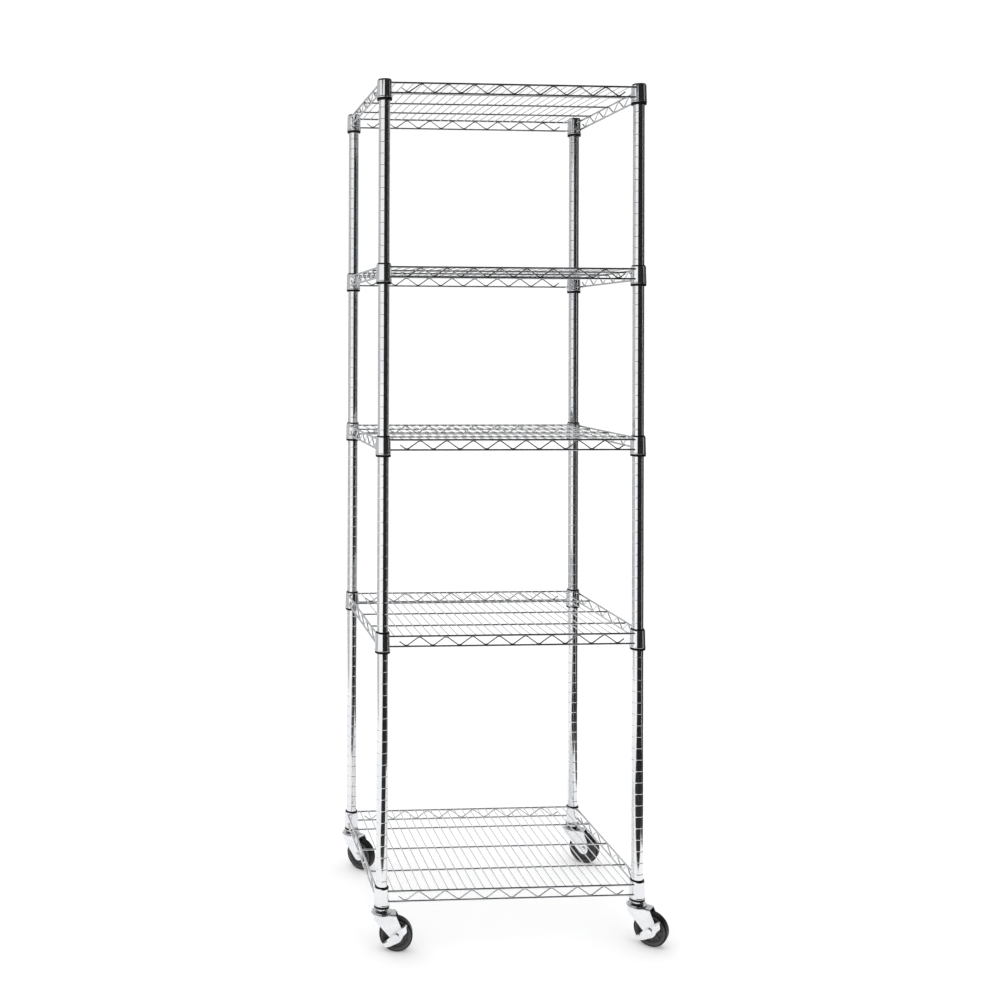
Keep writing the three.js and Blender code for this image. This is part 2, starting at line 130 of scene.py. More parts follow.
HUB_RIB_HALF = 0.8 * MM


# ---------------------------------------------------------------- mesh helpers


def centre_of(node):
    """The middle of a CAD node's box."""
    low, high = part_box(node)
    return (low + high) / 2


def fillet(points, radius, steps=4, closed=True):
    """The same outline or path with its corners rounded."""
    points = [Vector(p) for p in points]
    rounded = []
    for i, corner in enumerate(points):
        if not closed and i in (0, len(points) - 1):
            rounded.append(corner)
            continue
        before, after = points[i - 1], points[(i + 1) % len(points)]
        to_before, to_after = before - corner, after - corner
        cut = min(radius, 0.49 * to_before.length, 0.49 * to_after.length)
        start = corner + to_before.normalized() * cut
        end = corner + to_after.normalized() * cut
        for step in range(steps + 1):
            t = step / steps
            rounded.append(start * (1 - t) ** 2 + corner * 2 * t * (1 - t) + end * t * t)
    return rounded


def face(bm, corners):
    """A face from corners of which some may be the same vertex."""
    distinct = list(dict.fromkeys(corners))
    if len(distinct) > 2:
        bm.faces.new(distinct)


def revolve(bm, outline, sides, split=0.0):
    """Turns a closed (radius, height) outline round Z, leaving out an angle of split about +X."""
    count = sides if split == 0 else sides + 1
    sweep = 2 * math.pi - split
    turns = [split / 2 + sweep * i / sides for i in range(count)]
    rings = []
    for radius, height in outline:
        if radius < 1e-9:
            rings.append([bm.verts.new((0, 0, height))] * count)
        else:
            around = [(radius * math.cos(a), radius * math.sin(a), height) for a in turns]
            rings.append([bm.verts.new(point) for point in around])
    for lower, upper in zip(rings, rings[1:] + rings[:1]):
        for i in range(sides):
            j = (i + 1) % count
            face(bm, (lower[i], lower[j], upper[j], upper[i]))
    if split:
        face(bm, [ring[0] for ring in rings])
        face(bm, [ring[-1] for ring in reversed(rings)])


def tube(bm, path, radius, sides=12, radii=None):
    """A round bar along a path, flat at its ends. Returns its first and last rings."""
    path = [Vector(p) for p in path]
    radii = radii or [radius] * len(path)
    ahead = [(b - a).normalized() for a, b in zip(path, path[1:])]
    tangents = [ahead[0]] + [(a + b).normalized() for a, b in zip(ahead, ahead[1:])] + [ahead[-1]]
    side = tangents[0].orthogonal().normalized()
    rings = []
    for point, tangent, size in zip(path, tangents, radii):
        side = (side - tangent * side.dot(tangent)).normalized()
        up = tangent.cross(side)
        rings.append([
            bm.verts.new(point + (side * math.cos(a) + up * math.sin(a)) * size)
            for a in (2 * math.pi * i / sides for i in range(sides))
        ])
    for ring, following in zip(rings, rings[1:]):
        for i in range(sides):
            j = (i + 1) % sides
            bm.faces.new((ring[i], ring[j], following[j], following[i]))
    bm.faces.new(list(reversed(rings[0])))
    bm.faces.new(rings[-1])
    return rings[0], rings[-1]


def hexagon(bm, half_width, bottom, top, chamfer, hole=0.0):
    """A six-sided prism about Z whose corners are chamfered at both ends."""
    corner = half_width / math.cos(math.pi / 6)
    sides = 48
    step = 2 * math.pi / sides

    def ring(height, limit):
        made = []
        for i in range(sides):
            a = i * step
            within = (a + math.pi / 6) % (math.pi / 3) - math.pi / 6
            radius = min(half_width / math.cos(within), limit)
            made.append(bm.verts.new((radius * math.cos(a), radius * math.sin(a), height)))
        return made

    inner = max(hole, 0.1 * MM)
    rings = [
        ring(bottom, inner),
        ring(bottom, half_width * 0.97),
        ring(bottom + chamfer, corner),
        ring(top - chamfer, corner),
        ring(top, half_width * 0.97),
        ring(top, inner),
    ]
    for lower, upper in zip(rings, rings[1:]):
        for i in range(sides):
            j = (i + 1) % sides
            bm.faces.new((lower[i], lower[j], upper[j], upper[i]))
    if hole:
        for i in range(sides):
            j = (i + 1) % sides
            bm.faces.new((rings[-1][i], rings[-1][j], rings[0][j], rings[0][i]))
    else:
        bm.faces.new(list(reversed(rings[0])))
        bm.faces.new(rings[-1])


def plate(bm, outline, low, high):
    """A flat sheet from an (x, z) outline, between two values of y."""
    front = [bm.verts.new((x, low, z)) for x, z in outline]
    back = [bm.verts.new((x, high, z)) for x, z in outline]
    bm.faces.new(front)
    bm.faces.new(list(reversed(back)))
    for i in range(len(outline)):
        j = (i + 1) % len(outline)
        bm.faces.new((front[i], back[i], back[j], front[j]))


def strip(bm, rows, thickness):
    """A bent sheet: each row is (start, end, normal) of the sheet's middle, in order."""
    upper, lower = [], []
    for start, end, normal in rows:
        lift = Vector(normal) * thickness / 2
        upper.append([bm.verts.new(Vector(p) + lift) for p in (start, end)])
        lower.append([bm.verts.new(Vector(p) - lift) for p in (start, end)])
    for (a, b), (c, d) in zip(upper, upper[1:]):
        bm.faces.new((a, b, d, c))
    for (a, b), (c, d) in zip(lower, lower[1:]):
        bm.faces.new((a, c, d, b))
    for k in (0, 1):
        for top, top_after, low, low_after in zip(upper, upper[1:], lower, lower[1:]):
            bm.faces.new((top[k], top_after[k], low_after[k], low[k]))
    for k in (0, -1):
        bm.faces.new((upper[k][0], upper[k][1], lower[k][1], lower[k][0]))


def bored(bm, radius, start, end):
    """A solid with a round hole drilled through it from start to end. It replaces the one given."""
    drill = bmesh.new()
    tube(drill, [start, end], radius, 32)
    work = []
    for name, solid in (("blank", bm), ("drill", drill)):
        bmesh.ops.recalc_face_normals(solid, faces=solid.faces)
        mesh = bpy.data.meshes.new(name)
        solid.to_mesh(mesh)
        solid.free()
        work.append(bpy.data.objects.new(name, mesh))
        bpy.context.scene.collection.objects.link(work[-1])
    hole = work[0].modifiers.new("hole", "BOOLEAN")
    hole.object = work[1]
    graph = bpy.context.evaluated_depsgraph_get()
    cut = bmesh.new()
    cut.from_object(work[0], graph)
    # Slivers left by the cut would hold back the rounding of the piece's edges.
    bmesh.ops.remove_doubles(cut, verts=cut.verts, dist=0.03 * MM)
    for obj in work:
        mesh = obj.data
        bpy.data.objects.remove(obj)
        bpy.data.meshes.remove(mesh)
    return cut


def mesh_of(bm, name, material, sharp=38):
    """Closes a bmesh into a mesh with smooth faces and edges that stay crisp past an angle."""
    bmesh.ops.recalc_face_normals(bm, faces=bm.faces)
    limit = math.radians(sharp)
    for made in bm.faces:
        made.smooth = True
    for edge in bm.edges:
        edge.smooth = edge.is_manifold and edge.calc_face_angle() < limit
    mesh = bpy.data.meshes.new(name)
    bm.to_mesh(mesh)
    bm.free()
    mesh.materials.append(material)
    return mesh


def piece(name, mesh, body, node, place, rounding=0.0):
    """An object made from a mesh that rides on a body and stands for a CAD node."""
    placed = mesh.copy()
    placed.name = name
    placed.transform(place)
    obj = bpy.data.objects.new(name, placed)
    bpy.context.scene.collection.objects.link(obj)
    if rounding:
        bevel = obj.modifiers.new("rounded edges", "BEVEL")
        bevel.width = rounding
        bevel.segments = 3
        bevel.limit_method = "ANGLE"
        bevel.angle_limit = math.radians(50)
    shading = obj.modifiers.new("even shading", "WEIGHTED_NORMAL")
    shading.keep_sharp = True
    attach(obj, body)
    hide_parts(node)
    return obj


# ---------------------------------------------------------------- materials


def new_material(name, color, metallic, roughness):
    """A material and its Principled shader node."""
    material = bpy.data.materials.new(name)
    material.use_nodes = True
    shader = material.node_tree.nodes["Principled BSDF"]
    shader.inputs["Base Color"].default_value = (*color, 1)
    shader.inputs["Metallic"].default_value = metallic
    shader.inputs["Roughness"].default_value = roughness
    return material, shader


def noise_value(material, scale, low, high, stretch=(1, 1, 1), detail=4.0):
    """A noise pattern in the object's own metres, as a number from low to high."""
    tree = material.node_tree
    place = tree.nodes.new("ShaderNodeTexCoord")
    mapping = tree.nodes.new("ShaderNodeMapping")
    mapping.inputs["Scale"].default_value = stretch
    pattern = tree.nodes.new("ShaderNodeTexNoise")
    pattern.inputs["Scale"].default_value = scale
    pattern.inputs["Detail"].default_value = detail
    spread = tree.nodes.new("ShaderNodeMapRange")
    spread.inputs["From Min"].default_value = 0.3
    spread.inputs["From Max"].default_value = 0.7
    spread.inputs["To Min"].default_value = low
    spread.inputs["To Max"].default_value = high
    tree.links.new(place.outputs["Object"], mapping.inputs["Vector"])
    tree.links.new(mapping.outputs["Vector"], pattern.inputs["Vector"])
    tree.links.new(pattern.outputs["Fac"], spread.inputs["Value"])
    return spread.outputs["Result"]


def add_bump(material, shader, height, strength, distance):
    """Fine relief from a height value."""
    tree = material.node_tree
    bump = tree.nodes.new("ShaderNodeBump")
    bump.inputs["Strength"].default_value = strength
    bump.inputs["Distance"].default_value = distance
    tree.links.new(height, bump.inputs["Height"])
    tree.links.new(bump.outputs["Normal"], shader.inputs["Normal"])


def add_tint(material, shader, value, dark, light):
    """A base colour that drifts between two colours."""
    tree = material.node_tree
    ramp = tree.nodes.new("ShaderNodeValToRGB")
    ramp.color_ramp.elements[0].color = (*dark, 1)
    ramp.color_ramp.elements[1].color = (*light, 1)
    tree.links.new(value, ramp.inputs["Fac"])
    tree.links.new(ramp.outputs["Color"], shader.inputs["Base Color"])


def chrome_post_material():
    """Bright plating over a drawn tube: faint lengthwise polishing lines and soft smudges."""
    material, shader = new_material("chrome_post", (0.80, 0.81, 0.83), 1, 0.08)
    tree = material.node_tree
    smudge = noise_value(material, 38, 0.05, 0.12, (1, 1, 0.4))
    tree.links.new(smudge, shader.inputs["Roughness"])
    tint = noise_value(material, 11, 0, 1)
    add_tint(material, shader, tint, (0.76, 0.775, 0.80), (0.84, 0.845, 0.855))
    lines = noise_value(material, 900, 0, 1, (1, 1, 0.01), 2)
    add_bump(material, shader, lines, 0.06, 0.05 * MM)
    return material


def chrome_wire_material():
    """Plated wire: slightly rougher than the posts, with a grain that follows the plating."""
    material, shader = new_material("chrome_wire", (0.76, 0.77, 0.79), 1, 0.14)
    tree = material.node_tree
    tree.links.new(noise_value(material, 160, 0.09, 0.2), shader.inputs["Roughness"])
    tint = noise_value(material, 24, 0, 1)
    add_tint(material, shader, tint, (0.70, 0.715, 0.74), (0.82, 0.825, 0.84))
    grain = noise_value(material, 2600, 0, 1, detail=2)
    add_bump(material, shader, grain, 0.08, 0.04 * MM)
    return material


def deck_wire_painted_sheen_material():
    """The thin deck wires: the same plating over drawn wire, satin, with a paler base and a share of
    plain diffuse colour that paint in their bright sheen so they look pale.
    """
    # Painted sheen: the base is lighter than the other wires' plating and metallic is below one, so
    # part of the wire shows as pale diffuse colour.
    material, shader = new_material("satin_deck_wire_painted_sheen", (0.86, 0.865, 0.875), 0.85, 0.2)
    tree = material.node_tree
    tree.links.new(noise_value(material, 180, 0.14, 0.28), shader.inputs["Roughness"])
    tint = noise_value(material, 30, 0, 1)
    add_tint(material, shader, tint, (0.80, 0.81, 0.83), (0.90, 0.90, 0.91))
    grain = noise_value(material, 2600, 0, 1, (1, 0.08, 1), detail=2)
    add_bump(material, shader, grain, 0.1, 0.04 * MM)
    return material


def zinc_material():
    """Bright zinc on pressed steel: a cloudy, faintly blue sheen with a soft grain."""
    material, shader = new_material("zinc_steel", (0.74, 0.75, 0.77), 1, 0.28)
    tree = material.node_tree
    tree.links.new(noise_value(material, 90, 0.2, 0.38), shader.inputs["Roughness"])
    tint = noise_value(material, 45, 0, 1)
    add_tint(material, shader, tint, (0.79, 0.81, 0.845), (0.92, 0.92, 0.92))
    grain = noise_value(material, 1500, 0, 1, detail=3)
    add_bump(material, shader, grain, 0.15, 0.06 * MM)
    return material


def moulded_material(name, dark, light, roughness, grain_scale, grain_depth):
    """Grey moulded plastic or rubber with a fine grain and slightly uneven shade and gloss."""
    material, shader = new_material(name, (light,) * 3, 0, roughness)
    tree = material.node_tree
    gloss = noise_value(material, 60, roughness - 0.07, roughness + 0.07)
    tree.links.new(gloss, shader.inputs["Roughness"])
    add_tint(material, shader, noise_value(material, 35, 0, 1), (dark,) * 3, (light,) * 3)
    add_bump(material, shader, noise_value(material, grain_scale, 0, 1), 0.25, grain_depth)
    return material


CHROME_POST = chrome_post_material()
CHROME_WIRE = chrome_wire_material()
DECK_WIRE_PAINTED_SHEEN = deck_wire_painted_sheen_material()
ZINC = zinc_material()
SLEEVE_PLASTIC = moulded_material("sleeve_plastic", 0.003, 0.006, 0.5, 1800, 0.05 * MM)
CAP_PLASTIC = moulded_material("cap_plastic", 0.014, 0.024, 0.38, 1500, 0.05 * MM)
TREAD = moulded_material("wheel_tread", 0.003, 0.007, 0.45, 1200, 0.05 * MM)
# The tyre's side walls and the wheel's core get a lighter grey than the black tread. This is painted
# light on the faces of a wheel that is black throughout.
TYRE_SIDE_PAINTED_LIGHT = moulded_material("tyre_side_painted_light", 0.042, 0.060, 0.5, 1200, 0.08 * MM)
WHEEL_CORE_PAINTED_LIGHT = moulded_material("wheel_core", 0.036, 0.054, 0.45, 1400, 0.06 * MM)
for dull in (SLEEVE_PLASTIC, TREAD):
    dull.node_tree.nodes["Principled BSDF"].inputs["Specular IOR Level"].default_value = 0.2

# ---------------------------------------------------------------- places from the frame

post_axes = {corner: centre_of(f"post_{corner}") for corner in CORNERS}
post_low, post_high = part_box("post_front_left")
post_radius = (post_high.x - post_low.x) / 2
bore_radius = post_radius - POST_WALL
rack_centre = sum(post_axes.values(), Vector()) / len(CORNERS)
between_x = post_axes["front_right"].x - post_axes["front_left"].x
between_y = post_axes["back_left"].y - post_axes["front_left"].y
rail_height = {level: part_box(f"shelf_{level}")[0].z + COLLAR_BELOW_RAIL for level in LEVELS}

sleeve_low, sleeve_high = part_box("sleeve_1_front_left")
sleeve_flange_radius = (sleeve_high.y - sleeve_low.y) / 2
sleeve_bottom = sleeve_low.z - rail_height[1]
sleeve_top = sleeve_high.z - rail_height[1]
sleeve_top_radius = post_radius + FIT_GAP + SLEEVE_TOP_WALL
sleeve_slope = SLEEVE_TAPER / (sleeve_top - sleeve_bottom)


def sleeve_radius(height):
    """Outer radius of a sleeve's taper at a height above the lower rail."""
    return sleeve_top_radius + (sleeve_top - height) * sleeve_slope


def collar_radius(height):
    """Outer radius of a collar at a height above the lower rail."""
    return sleeve_radius(height) + FIT_GAP + COLLAR_WALL


# ---------------------------------------------------------------- posts and caps


def post_mesh():
    """A tube with a rolled groove every inch, rounded at its ends."""
    bottom, top = post_low.z, post_high.z
    lip = 0.35 * MM
    outline = [(bore_radius, bottom), (post_radius - lip, bottom), (post_radius, bottom + lip)]
    first = (rail_height[1] - GROOVE_BELOW_RAIL - bottom) % INCH
    count = int((top - bottom - first) / INCH) + 1
    half_section = [(-1.2, 0), (-1, 0.03), (-0.6, 0.45), (-0.3, 0.88)]
    section = half_section + [(0, 1)] + [(-along, deep) for along, deep in reversed(half_section)]
    for i in range(count):
        middle = bottom + first + i * INCH
        for along, deep in section:
            outline.append((post_radius - deep * GROOVE_DEPTH, middle + along * GROOVE_HALF_WIDTH))
    outline += [(post_radius, top - lip), (post_radius - lip, top), (bore_radius, top)]
    bm = bmesh.new()
    revolve(bm, outline, POST_SIDES)
    return mesh_of(bm, "grooved_tube", CHROME_POST, 50)


def cap_mesh():
    """A press-in cap: a ribbed plug, a thin rim and a low domed top."""
    low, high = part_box("post_cap_front_left")
    rim_bottom = post_high.z + FIT_GAP
    rim_top = rim_bottom + 1.6 * MM
    plug = bore_radius - FIT_GAP
    core = plug - 0.6 * MM
    outline = [(0, low.z), (plug - 1 * MM, low.z)]
    for i in range(4):
        rib = low.z + (1.5 + 2.6 * i) * MM
        outline += [(core, rib), (plug, rib + 0.5 * MM), (plug, rib + 1.1 * MM), (core, rib + 1.6 * MM)]
    outline += [(core, rim_bottom), (post_radius - 0.3 * MM, rim_bottom)]
    outline.append((post_radius, rim_bottom + 0.3 * MM))
    for i in range(CAP_DOME_STEPS):
        angle = math.radians(90 * i / CAP_DOME_STEPS)
        across = (post_radius - 0.2 * MM) * math.cos(angle) ** 0.6
        outline.append((across, rim_top + (high.z - rim_top) * math.sin(angle)))
    outline.append((0, high.z))
    bm = bmesh.new()
    revolve(bm, outline, POST_SIDES)
    return mesh_of(bm, "domed_cap", CAP_PLASTIC, 45)


post = post_mesh()
cap = cap_mesh()
for corner in CORNERS:
    at_axis = Matrix.Translation((post_axes[corner].x, post_axes[corner].y, 0))
    piece(f"grooved_post_{corner}", post, "rack", f"post_{corner}", at_axis)
    piece(f"domed_cap_{corner}", cap, "rack", f"post_cap_{corner}", at_axis)

# ---------------------------------------------------------------- sleeves


def sleeve_mesh():
    """A flanged, tapered sleeve with a slot down one side and a ridge for the post's groove."""
    bore = post_radius + FIT_GAP
    flange_top = -COLLAR_BELOW_RAIL - FIT_GAP
    ridge = -GROOVE_BELOW_RAIL
    ridge_reach = GROOVE_DEPTH + FIT_GAP - 0.1 * MM
    ease = 0.4 * MM
    outline = [
        (bore, sleeve_bottom),
        (sleeve_flange_radius - ease, sleeve_bottom),
        (sleeve_flange_radius, sleeve_bottom + ease),
        (sleeve_flange_radius, flange_top - ease / 2),
        (sleeve_flange_radius - ease / 2, flange_top),
        (sleeve_radius(flange_top), flange_top),
        (sleeve_radius(sleeve_top - ease), sleeve_top - ease),
        (sleeve_top_radius - ease, sleeve_top),
        (bore, sleeve_top),
    ]
    for above in (GROOVE_HALF_WIDTH, GROOVE_HALF_WIDTH / 3, -GROOVE_HALF_WIDTH / 3, -GROOVE_HALF_WIDTH):
        inward = ridge_reach if abs(above) < GROOVE_HALF_WIDTH else 0
        outline.append((bore - inward, ridge + above * 0.8))
    bm = bmesh.new()
    revolve(bm, outline, POST_SIDES, SLEEVE_SPLIT / sleeve_flange_radius)
    return mesh_of(bm, "split_sleeve", SLEEVE_PLASTIC, 30)


sleeve = sleeve_mesh()
for corner in CORNERS:
    facing = Matrix.Rotation(math.pi if corner.endswith("right") else 0, 4, "Z")
    for level in LEVELS:
        axis = post_axes[corner]
        place = Matrix.Translation((axis.x, axis.y, rail_height[level])) @ facing
        name, node = f"split_sleeve_{level}_{corner}", f"sleeve_{level}_{corner}"
        piece(name, sleeve, "rack", node, place)

# ---------------------------------------------------------------- shelves


def zigzag_path(between):
    """The zigzag wire's path along X: low bends, high bends and a stub at each end."""
    span = between - 2 * ZIGZAG_END_SETBACK
    bays = max(1, round(span / ZIGZAG_PITCH))
    run = span / bays / 2
    reach = RAIL_RADIUS + ZIGZAG_RADIUS - ZIGZAG_BITE
    low, high = reach, RAIL_SPACING - reach
    middle = RAIL_SPACING / 2
    share = (middle - low) / (high - low)
    path = [(-span / 2 - run * share, 0, middle)]
    for i in range(2 * bays + 1):
        path.append((-span / 2 + i * run, 0, high if i % 2 else low))
    path.append((span / 2 + run * share, 0, middle))
    # The bend's rounding takes a little off each tip, so the tips start that much further out.
    sharpness = ZIGZAG_BEND / 2 * (high - low) / math.hypot(run, high - low)
    push = {high: sharpness, low: -sharpness, middle: 0}
    pushed = [(x, y, z + push[z]) for x, y, z in path]
    return fillet(pushed, ZIGZAG_BEND, 6, closed=False)


def edge(bm, between, turn, offset):
    """Two rails and a zigzag along one edge; the rails' ends are shaped to the collars."""
    placed = Matrix.Rotation(turn, 4, "Z") @ Matrix.Translation((0, -offset, 0))
    start = len(bm.verts)
    outside = offset - RAIL_OFFSET
    for height in (0, RAIL_SPACING):
        wall = collar_radius(height) - COLLAR_WALL / 2
        ends = tube(bm, [(-between / 2, 0, height), (between / 2, 0, height)], RAIL_RADIUS, 16)
        for ring, sign in zip(ends, (-1, 1)):
            for vert in ring:
                beyond = offset - vert.co.y - outside
                vert.co.x = sign * (between / 2 - math.sqrt(wall ** 2 - beyond ** 2))
    tube(bm, zigzag_path(between), ZIGZAG_RADIUS, 10)
    bm.verts.ensure_lookup_table()
    bmesh.ops.transform(bm, matrix=placed, verts=bm.verts[start:])


def welded_wire(bm, start, end, radius, sides):
    """A straight wire whose ends swell where they are welded."""
    start, end = Vector(start), Vector(end)
    along = (end - start).normalized()
    marks = (0, WELD_LENGTH * 0.35, WELD_LENGTH * 0.7, WELD_LENGTH)
    swell = (WELD_FLARE, WELD_FLARE, 1.1, 1)
    path = [start + along * m for m in marks] + [end - along * m for m in reversed(marks)]
    radii = [radius * s for s in swell] + [radius * s for s in reversed(swell)]
    tube(bm, path, radius, sides, radii)


def collar(bm, x, y, height):
    """A tapered collar with a rolled bead round its foot and an eased top."""
    bottom, top = -COLLAR_BELOW_RAIL, height - COLLAR_BELOW_RAIL
    bead_top = bottom + COLLAR_BEAD_HEIGHT
    outside = [
        (collar_radius(bottom) - 0.2 * MM, bottom),
        (collar_radius(bottom) + COLLAR_BEAD, bottom + 0.8 * MM),
        (collar_radius(bottom) + COLLAR_BEAD, bead_top - 1 * MM),
        (collar_radius(bead_top), bead_top),
        (collar_radius(top), top - 1 * MM),
        (collar_radius(top) - 0.6 * MM, top),
    ]
    inside = [(sleeve_radius(top) + FIT_GAP, top), (sleeve_radius(bottom) + FIT_GAP, bottom)]
    outline = [tuple(p) for p in fillet(outside, 0.6 * MM, 3, closed=False)] + inside
    start = len(bm.verts)
    revolve(bm, outline, POST_SIDES)
    bm.verts.ensure_lookup_table()
    bmesh.ops.translate(bm, vec=(x, y, 0), verts=bm.verts[start:])


def shelf_meshes():
    """The edges with the ribs, the deck wires and the collars, about the lower rails' centre."""
    offset_x = between_x / 2 + RAIL_OFFSET
    offset_y = between_y / 2 + RAIL_OFFSET
    edges = bmesh.new()
    for quarter, (between, offset) in enumerate([(between_x, offset_y), (between_y, offset_x)] * 2):
        edge(edges, between, quarter * math.pi / 2, offset)

    deck = bmesh.new()
    height = RAIL_SPACING + DECK_ABOVE_RAIL
    reach = offset_y - RAIL_RADIUS + 0.6 * MM
    per_half = int((between_x / 2 - collar_radius(0) - 2 * DECK_RADIUS) / DECK_PITCH)
    for i in range(-per_half, per_half + 1):
        x = i * DECK_PITCH
        welded_wire(deck, (x, -reach, height), (x, reach, height), DECK_RADIUS, 12)
    rib_height = height - DECK_RADIUS - RIB_RADIUS + RIB_BITE
    rib_reach = offset_x - RAIL_RADIUS + 0.6 * MM
    for share in (-0.5, 0, 0.5):
        y = share * RIB_SPREAD * between_y
        welded_wire(edges, (-rib_reach, y, rib_height), (rib_reach, y, rib_height), RIB_RADIUS, 16)

    collars = bmesh.new()
    low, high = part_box("shelf_1")
    for corner in CORNERS:
        place = post_axes[corner] - rack_centre
        collar(collars, place.x, place.y, high.z - low.z)
    return (
        mesh_of(edges, "shelf_edges", CHROME_WIRE),
        mesh_of(deck, "shelf_deck", DECK_WIRE_PAINTED_SHEEN, 60),
        mesh_of(collars, "shelf_collars", CHROME_POST, 50),
    )


edges_mesh, deck_mesh, collars_mesh = shelf_meshes()
for level in LEVELS:
    place = Matrix.Translation((rack_centre.x, rack_centre.y, rail_height[level]))
    node = f"shelf_{level}"
    piece(f"shelf_{level}_rails_zigzags_and_ribs", edges_mesh, "rack", node, place)
    piece(f"shelf_{level}_deck_wires", deck_mesh, "rack", node, place)
    piece(f"shelf_{level}_collars", collars_mesh, "rack", node, place)

# ---------------------------------------------------------------- casters

wheel_low, wheel_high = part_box("wheel_tyre_front_left")
wheel_centre = (wheel_low + wheel_high) / 2
wheel_radius = wheel_centre.z
trail = (wheel_centre - post_axes["front_left"]).xy.length
crown_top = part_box("caster_fork_front_left")[1].z
crown_bottom = crown_top - FORK_PLATE
stem_low, stem_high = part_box("caster_stem_front_left")
race_bottom = crown_top + FIT_GAP
race_top = post_low.z - FIT_GAP
fork_inner_half = HUB_HALF_WIDTH + 0.8 * MM
fork_outer_half = fork_inner_half + FORK_PLATE
ON_AXLE = Matrix.Translation((trail, 0, wheel_radius)) @ Matrix.Rotation(-math.pi / 2, 4, "X")


def caster_place(corner):
    """From a caster's own frame, with X towards its wheel, to the rack's."""
    axis = post_axes[corner]
    away = centre_of(f"wheel_tyre_{corner}") - axis
    turn = math.atan2(away.y, away.x)
    return Matrix.Translation((axis.x, axis.y, 0)) @ Matrix.Rotation(turn, 4, "Z")


def stem_mesh():
    """Ringed plug, upper race with a rolled lip, and the kingpin with its peened head."""
    plug = bore_radius - FIT_GAP
    head_top = crown_bottom - FIT_GAP
    outline = [
        (0, stem_low.z),
        (KINGPIN_HEAD_RADIUS * 0.7, stem_low.z),
        (KINGPIN_HEAD_RADIUS, stem_low.z + 1.2 * MM),
        (KINGPIN_HEAD_RADIUS, head_top),
        (KINGPIN_RADIUS, head_top),
        (KINGPIN_RADIUS, race_bottom),
        (19.6 * MM, race_bottom),
        (20.6 * MM, race_bottom + 0.2 * MM),
        (21.0 * MM, race_bottom + 0.9 * MM),
        (20.7 * MM, race_bottom + 1.7 * MM),
        (19.8 * MM, race_bottom + 2.1 * MM),
        (17.8 * MM, race_bottom + 2.3 * MM),
        (15.4 * MM, race_bottom + 3.1 * MM),
        (14.0 * MM, race_top - 0.5 * MM),
        (13.2 * MM, race_top),
        (plug, race_top),
    ]
    for i in range(4):
        ring = race_top + (8 + 9 * i) * MM
        outline += [(plug, ring), (plug - 0.7 * MM, ring + 0.8 * MM)]
        outline += [(plug - 0.7 * MM, ring + 2.2 * MM), (plug, ring + 3 * MM)]
    outline += [(plug, stem_high.z - 2 * MM), (plug - 2 * MM, stem_high.z), (0, stem_high.z)]
    bm = bmesh.new()
    revolve(bm, outline, RACE_SIDES)
    return mesh_of(bm, "stem_and_race", ZINC, 40)


def leg_span(z):
    """Rear and front edge of a fork leg at a height."""
    foot = wheel_radius
    rear_top = -math.sqrt(CROWN_RADIUS ** 2 - fork_outer_half ** 2)
    shoulder = crown_bottom - FORK_SHOULDER
    corner_drop = LEG_END_RADIUS * math.sqrt(0.5)
    corner = (trail - corner_drop, foot - corner_drop)
    below = math.sqrt(max(0, LEG_END_RADIUS ** 2 - min(0, z - foot) ** 2))
    if z >= shoulder:
        rear = rear_top
    elif z >= corner[1]:
        share = (shoulder - z) / (shoulder - corner[1])
        rear = rear_top + (corner[0] - rear_top) * share
    else:
        rear = trail - below
    knee = ((crown_bottom + foot) / 2, trail + LEG_FRONT_REACH)
    if z >= knee[0]:
        front = knee[1] + (FORK_CROWN_REACH - knee[1]) * (z - knee[0]) / (crown_top - knee[0])
    elif z >= foot:
        share = (z - foot) / (knee[0] - foot)
        front = trail + LEG_END_RADIUS + (knee[1] - trail - LEG_END_RADIUS) * share
    else:
        front = trail + below
    return rear, front


def fork_mesh():
    """One pressed sheet: a leg, a bend, the crown with the kingpin's hole, a bend and a leg."""
    middle = fork_inner_half + FORK_PLATE / 2
    crown_middle = crown_bottom + FORK_PLATE / 2
    foot = wheel_radius - LEG_END_RADIUS
    bend_centre = (middle - FORK_BEND, crown_middle - FORK_BEND)
    profile = []
    for i in range(33):
        share = i / 32
        z = foot + (bend_centre[1] - foot) * (1 - math.cos(share * math.pi / 2))
        profile.append((middle, z, (1, 0), leg_span(max(z, foot + 0.15 * MM))))
    for i in range(1, 9):
        angle = math.pi / 2 * i / 8
        y = bend_centre[0] + FORK_BEND * math.cos(angle)
        z = bend_centre[1] + FORK_BEND * math.sin(angle)
        profile.append((y, z, (math.cos(angle), math.sin(angle)), leg_span(z)))
    rows = []
    for y, z, (ny, nz), (rear, front) in profile:
        rows.append(((rear, y, z), (front, y, z), (0, ny, nz)))
    for y, z, (ny, nz), (rear, front) in reversed(profile):
        rows.append(((rear, -y, z), (front, -y, z), (0, -ny, nz)))
    bm = bmesh.new()
    strip(bm, rows, FORK_PLATE)
    above, below = crown_top + FORK_PLATE, crown_bottom - FORK_PLATE
    bm = bored(bm, KINGPIN_RADIUS + FIT_GAP, (0, 0, below), (0, 0, above))
    return mesh_of(bm, "fork_sheet", ZINC, 45)


